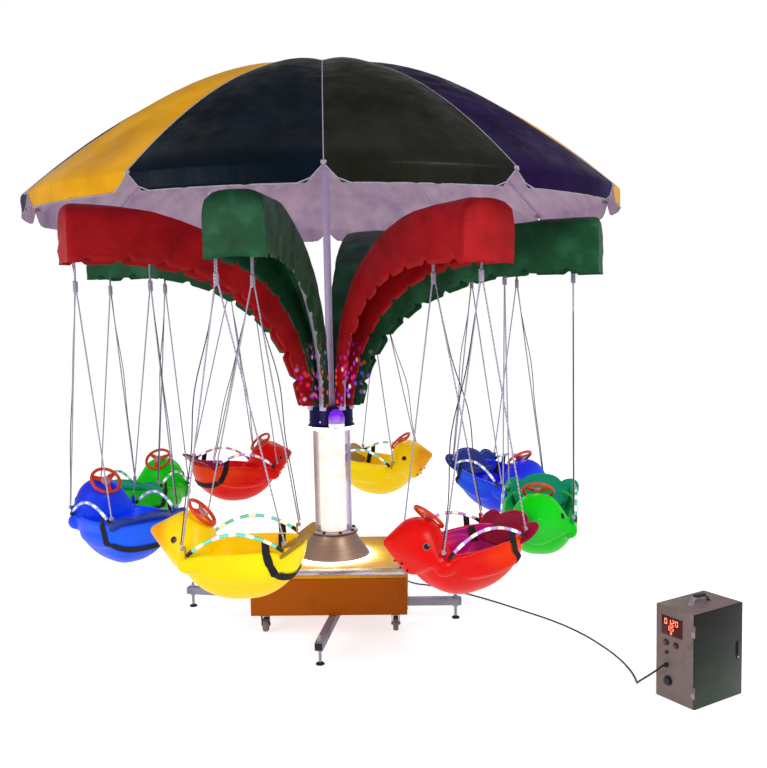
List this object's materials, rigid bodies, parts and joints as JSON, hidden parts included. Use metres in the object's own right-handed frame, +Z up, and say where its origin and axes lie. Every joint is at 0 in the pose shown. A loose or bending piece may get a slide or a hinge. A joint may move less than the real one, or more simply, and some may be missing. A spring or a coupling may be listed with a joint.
{
  "type": "chair swing ride",
  "caption": "Children's swing ride: bird-shaped seats hang on ropes from curved arms that turn on a lit column under a round canopy, with a control cabinet on a cable.",
  "frame": {"origin": "middle of the box round the ride and its cabinet, on the ground", "axes": "+Z up, -Y towards the front of the ride, +X towards the side where the cabinet stands"},
  "size_m": [3.155, 2.958, 2.849],
  "materials": {
    "orange_paint": "gloss paint, worn at the edges",
    "grey_steel": "grey paint on steel tube",
    "black_rubber": "matt",
    "bronze_metal": "brownish, smooth",
    "white_light": "lit diffuser",
    "clear_sleeve": "clear tube with a pink tint",
    "navy_paint": "semi-gloss",
    "red_tarpaulin": "coated fabric, creased",
    "green_tarpaulin": "coated fabric, creased",
    "lavender_steel": "silver with a lavender cast",
    "canopy_fabric": "coated, panels of yellow, navy, olive black and purple",
    "violet_lens": "faceted clear dome, lit violet",
    "grey_rope": "braided",
    "blue_plastic": "translucent shell, lit from inside",
    "yellow_plastic": "translucent shell, lit from inside",
    "red_plastic": "translucent shell, lit from inside",
    "green_plastic": "translucent shell, lit from inside",
    "cabinet_paint": "satin",
    "door_paint": "gloss, dark",
    "black_cable": "smooth sheath"
  },
  "bodies": {
    "stand": {"base_housing": "orange_paint", "column_foot": "bronze_metal", "foot_ring_light": "white_light", "column_sleeve": "clear_sleeve", "column_light": "white_light", "outrigger_front": "grey_steel", "outrigger_right": "grey_steel", "outrigger_back": "grey_steel", "outrigger_left": "grey_steel", "control_cabinet": "cabinet_paint", "control_cable": "black_cable"},
    "head": {"turning_head": "navy_paint", "crystal_lamp": "violet_lens", "arm_cover_1": "red_tarpaulin", "arm_cover_2": "green_tarpaulin", "arm_cover_3": "red_tarpaulin", "arm_cover_4": "green_tarpaulin", "arm_cover_5": "red_tarpaulin", "arm_cover_6": "green_tarpaulin", "arm_cover_7": "red_tarpaulin", "arm_cover_8": "green_tarpaulin", "canopy": "canopy_fabric", "canopy_frame": "lavender_steel", "canopy_pole": "lavender_steel"},
    "ropes_outer_1": {"ropes_outer_1": "grey_rope"},
    "seat_1": {"seat_1": "blue_plastic"},
    "ropes_inner_1": {"ropes_inner_1": "grey_rope"},
    "ropes_outer_2": {"ropes_outer_2": "grey_rope"},
    "seat_2": {"seat_2": "yellow_plastic"},
    "ropes_inner_2": {"ropes_inner_2": "grey_rope"},
    "ropes_outer_3": {"ropes_outer_3": "grey_rope"},
    "seat_3": {"seat_3": "red_plastic"},
    "ropes_inner_3": {"ropes_inner_3": "grey_rope"},
    "ropes_outer_4": {"ropes_outer_4": "grey_rope"},
    "seat_4": {"seat_4": "green_plastic"},
    "ropes_inner_4": {"ropes_inner_4": "grey_rope"},
    "ropes_outer_5": {"ropes_outer_5": "grey_rope"},
    "seat_5": {"seat_5": "blue_plastic"},
    "ropes_inner_5": {"ropes_inner_5": "grey_rope"},
    "ropes_outer_6": {"ropes_outer_6": "grey_rope"},
    "seat_6": {"seat_6": "yellow_plastic"},
    "ropes_inner_6": {"ropes_inner_6": "grey_rope"},
    "ropes_outer_7": {"ropes_outer_7": "grey_rope"},
    "seat_7": {"seat_7": "red_plastic"},
    "ropes_inner_7": {"ropes_inner_7": "grey_rope"},
    "ropes_outer_8": {"ropes_outer_8": "grey_rope"},
    "seat_8": {"seat_8": "green_plastic"},
    "ropes_inner_8": {"ropes_inner_8": "grey_rope"},
    "caster_fork_1": {"caster_fork_1": "grey_steel"},
    "caster_wheel_1": {"caster_wheel_1": "black_rubber"},
    "caster_fork_2": {"caster_fork_2": "grey_steel"},
    "caster_wheel_2": {"caster_wheel_2": "black_rubber"},
    "caster_fork_3": {"caster_fork_3": "grey_steel"},
    "caster_wheel_3": {"caster_wheel_3": "black_rubber"},
    "caster_fork_4": {"caster_fork_4": "grey_steel"},
    "caster_wheel_4": {"caster_wheel_4": "black_rubber"},
    "cabinet_door": {"cabinet_door": "door_paint"}
  },
  "joints": [
    {"name": "head_turn", "type": "hinge", "parent": "stand", "child": "head", "pos_m": [-0.098, 0, 1], "axis": [0, 0, 1], "continuous": true},
    {"name": "seat_1_swing", "type": "hinge", "parent": "head", "child": "ropes_outer_1", "pos_m": [-1.25423, -0.51479, 2.017], "axis": [-0.6427, 0.7659, -0.0175], "range_deg": [-3, 12]},
    {"name": "seat_1_level", "type": "hinge", "parent": "ropes_outer_1", "child": "seat_1", "pos_m": [-1.22451, -0.5502, 0.69999], "axis": [-0.6427, 0.7659, -0.0175], "range_deg": [-12, 3]},
    {"name": "ropes_inner_1_swing", "type": "hinge", "parent": "head", "child": "ropes_inner_1", "pos_m": [-0.94061, -0.37515, 2.017], "axis": [-0.6427, 0.7659, -0.0175], "range_deg": [-3, 12]},
    {"name": "seat_2_swing", "type": "hinge", "parent": "head", "child": "ropes_outer_2", "pos_m": [-0.52986, -1.18654, 1.992], "axis": [-0.9889, 0.139, -0.0523], "range_deg": [-3, 12]},
    {"name": "seat_2_level", "type": "hinge", "parent": "ropes_outer_2", "child": "seat_2", "pos_m": [-0.49835, -1.19097, 0.68392], "axis": [-0.9889, 0.139, -0.0523], "range_deg": [-12, 3]},
    {"name": "ropes_inner_2_swing", "type": "hinge", "parent": "head", "child": "ropes_inner_2", "pos_m": [-0.41448, -0.86951, 1.992], "axis": [-0.9889, 0.139, -0.0523], "range_deg": [-3, 12]},
    {"name": "seat_3_swing", "type": "hinge", "parent": "head", "child": "ropes_outer_3", "pos_m": [0.5317, -1.09067, 1.962], "axis": [-0.8939, -0.436, -0.1045], "range_deg": [-3, 12]},
    {"name": "seat_3_level", "type": "hinge", "parent": "ropes_outer_3", "child": "seat_3", "pos_m": [0.53798, -1.08761, 0.64666], "axis": [-0.8939, -0.436, -0.1045], "range_deg": [-12, 3]},
    {"name": "ropes_inner_3_swing", "type": "hinge", "parent": "head", "child": "ropes_inner_3", "pos_m": [0.3663, -0.80419, 1.962], "axis": [-0.8939, -0.436, -0.1045], "range_deg": [-3, 12]},
    {"name": "seat_4_swing", "type": "hinge", "parent": "head", "child": "ropes_outer_4", "pos_m": [1.07823, -0.45151, 1.932], "axis": [-0.2549, -0.9513, -0.1736], "range_deg": [-3, 12]},
    {"name": "seat_4_level", "type": "hinge", "parent": "ropes_outer_4", "child": "seat_4", "pos_m": [1.07993, -0.44516, 0.66306], "axis": [-0.2549, -0.9513, -0.1736], "range_deg": [-12, 3]},
    {"name": "ropes_inner_4_swing", "type": "hinge", "parent": "head", "child": "ropes_inner_4", "pos_m": [0.76845, -0.3326, 1.932], "axis": [-0.2549, -0.9513, -0.1736], "range_deg": [-3, 12]},
    {"name": "seat_5_swing", "type": "hinge", "parent": "head", "child": "ropes_outer_5", "pos_m": [1.01419, 0.59136, 1.982], "axis": [0.5346, -0.8233, -0.1908], "range_deg": [-3, 12]},
    {"name": "seat_5_level", "type": "hinge", "parent": "ropes_outer_5", "child": "seat_5", "pos_m": [1.01277, 0.59355, 0.67086], "axis": [0.5346, -0.8233, -0.1908], "range_deg": [-12, 3]},
    {"name": "ropes_inner_5_swing", "type": "hinge", "parent": "head", "child": "ropes_inner_5", "pos_m": [0.7217, 0.43584, 1.982], "axis": [0.5346, -0.8233, -0.1908], "range_deg": [-3, 12]},
    {"name": "seat_6_swing", "type": "hinge", "parent": "head", "child": "ropes_outer_6", "pos_m": [0.23005, 1.2243, 2.017], "axis": [0.8355, -0.5426, -0.0872], "range_deg": [-3, 12]},
    {"name": "seat_6_level", "type": "hinge", "parent": "ropes_outer_6", "child": "seat_6", "pos_m": [0.27955, 1.19216, 0.68376], "axis": [0.8355, -0.5426, -0.0872], "range_deg": [-12, 3]},
    {"name": "ropes_inner_6_swing", "type": "hinge", "parent": "head", "child": "ropes_inner_6", "pos_m": [0.14025, 0.88914, 2.017], "axis": [0.8355, -0.5426, -0.0872], "range_deg": [-3, 12]},
    {"name": "seat_7_swing", "type": "hinge", "parent": "head", "child": "ropes_outer_7", "pos_m": [-0.7275, 1.09033, 1.992], "axis": [0.8596, 0.4963, -0.1219], "range_deg": [-3, 12]},
    {"name": "seat_7_level", "type": "hinge", "parent": "ropes_outer_7", "child": "seat_7", "pos_m": [-0.79024, 1.0541, 0.69954], "axis": [0.8596, 0.4963, -0.1219], "range_deg": [-12, 3]},
    {"name": "ropes_inner_7_swing", "type": "hinge", "parent": "head", "child": "ropes_inner_7", "pos_m": [-0.5625, 0.80454, 1.992], "axis": [0.8596, 0.4963, -0.1219], "range_deg": [-3, 12]},
    {"name": "seat_8_swing", "type": "hinge", "parent": "head", "child": "ropes_outer_8", "pos_m": [-1.30237, 0.36821, 1.972], "axis": [0.2233, 0.9671, -0.1219], "range_deg": [-3, 12]},
    {"name": "seat_8_level", "type": "hinge", "parent": "ropes_outer_8", "child": "seat_8", "pos_m": [-1.30327, 0.36433, 0.68754], "axis": [0.2233, 0.9671, -0.1219], "range_deg": [-12, 3]},
    {"name": "ropes_inner_8_swing", "type": "hinge", "parent": "head", "child": "ropes_inner_8", "pos_m": [-0.98602, 0.2715, 1.972], "axis": [0.2233, 0.9671, -0.1219], "range_deg": [-3, 12]},
    {"name": "caster_1_swivel", "type": "hinge", "parent": "stand", "child": "caster_fork_1", "pos_m": [-0.45334, -0.29816, 0.1], "axis": [0, 0, 1], "continuous": true},
    {"name": "caster_1_roll", "type": "hinge", "parent": "caster_fork_1", "child": "caster_wheel_1", "pos_m": [-0.45107, -0.27226, 0.042], "axis": [0.9962, -0.0872, 0], "continuous": true},
    {"name": "caster_2_swivel", "type": "hinge", "parent": "stand", "child": "caster_fork_2", "pos_m": [0.20016, -0.35534, 0.1], "axis": [0, 0, 1], "continuous": true},
    {"name": "caster_2_roll", "type": "hinge", "parent": "caster_fork_2", "child": "caster_wheel_2", "pos_m": [0.20243, -0.32944, 0.042], "axis": [0.9962, -0.0872, 0], "continuous": true},
    {"name": "caster_3_swivel", "type": "hinge", "parent": "stand", "child": "caster_fork_3", "pos_m": [0.25734, 0.29816, 0.1], "axis": [0, 0, 1], "continuous": true},
    {"name": "caster_3_roll", "type": "hinge", "parent": "caster_fork_3", "child": "caster_wheel_3", "pos_m": [0.2596, 0.32407, 0.042], "axis": [0.9962, -0.0872, 0], "continuous": true},
    {"name": "caster_4_swivel", "type": "hinge", "parent": "stand", "child": "caster_fork_4", "pos_m": [-0.39616, 0.35534, 0.1], "axis": [0, 0, 1], "continuous": true},
    {"name": "caster_4_roll", "type": "hinge", "parent": "caster_fork_4", "child": "caster_wheel_4", "pos_m": [-0.3939, 0.38124, 0.042], "axis": [0.9962, -0.0872, 0], "continuous": true},
    {"name": "cabinet_door_hinge", "type": "hinge", "parent": "stand", "child": "cabinet_door", "pos_m": [1.31848, -1.36859, 0.1945], "axis": [0, 0, -1], "range_deg": [0, 100]}
  ],
  "couplings": [
    {"joint": "seat_1_level", "follows": "seat_1_swing", "ratio": -1},
    {"joint": "ropes_inner_1_swing", "follows": "seat_1_swing", "ratio": 1},
    {"joint": "seat_2_level", "follows": "seat_2_swing", "ratio": -1},
    {"joint": "ropes_inner_2_swing", "follows": "seat_2_swing", "ratio": 1},
    {"joint": "seat_3_level", "follows": "seat_3_swing", "ratio": -1},
    {"joint": "ropes_inner_3_swing", "follows": "seat_3_swing", "ratio": 1},
    {"joint": "seat_4_level", "follows": "seat_4_swing", "ratio": -1},
    {"joint": "ropes_inner_4_swing", "follows": "seat_4_swing", "ratio": 1},
    {"joint": "seat_5_level", "follows": "seat_5_swing", "ratio": -1},
    {"joint": "ropes_inner_5_swing", "follows": "seat_5_swing", "ratio": 1},
    {"joint": "seat_6_level", "follows": "seat_6_swing", "ratio": -1},
    {"joint": "ropes_inner_6_swing", "follows": "seat_6_swing", "ratio": 1},
    {"joint": "seat_7_level", "follows": "seat_7_swing", "ratio": -1},
    {"joint": "ropes_inner_7_swing", "follows": "seat_7_swing", "ratio": 1},
    {"joint": "seat_8_level", "follows": "seat_8_swing", "ratio": -1},
    {"joint": "ropes_inner_8_swing", "follows": "seat_8_swing", "ratio": 1}
  ]
}
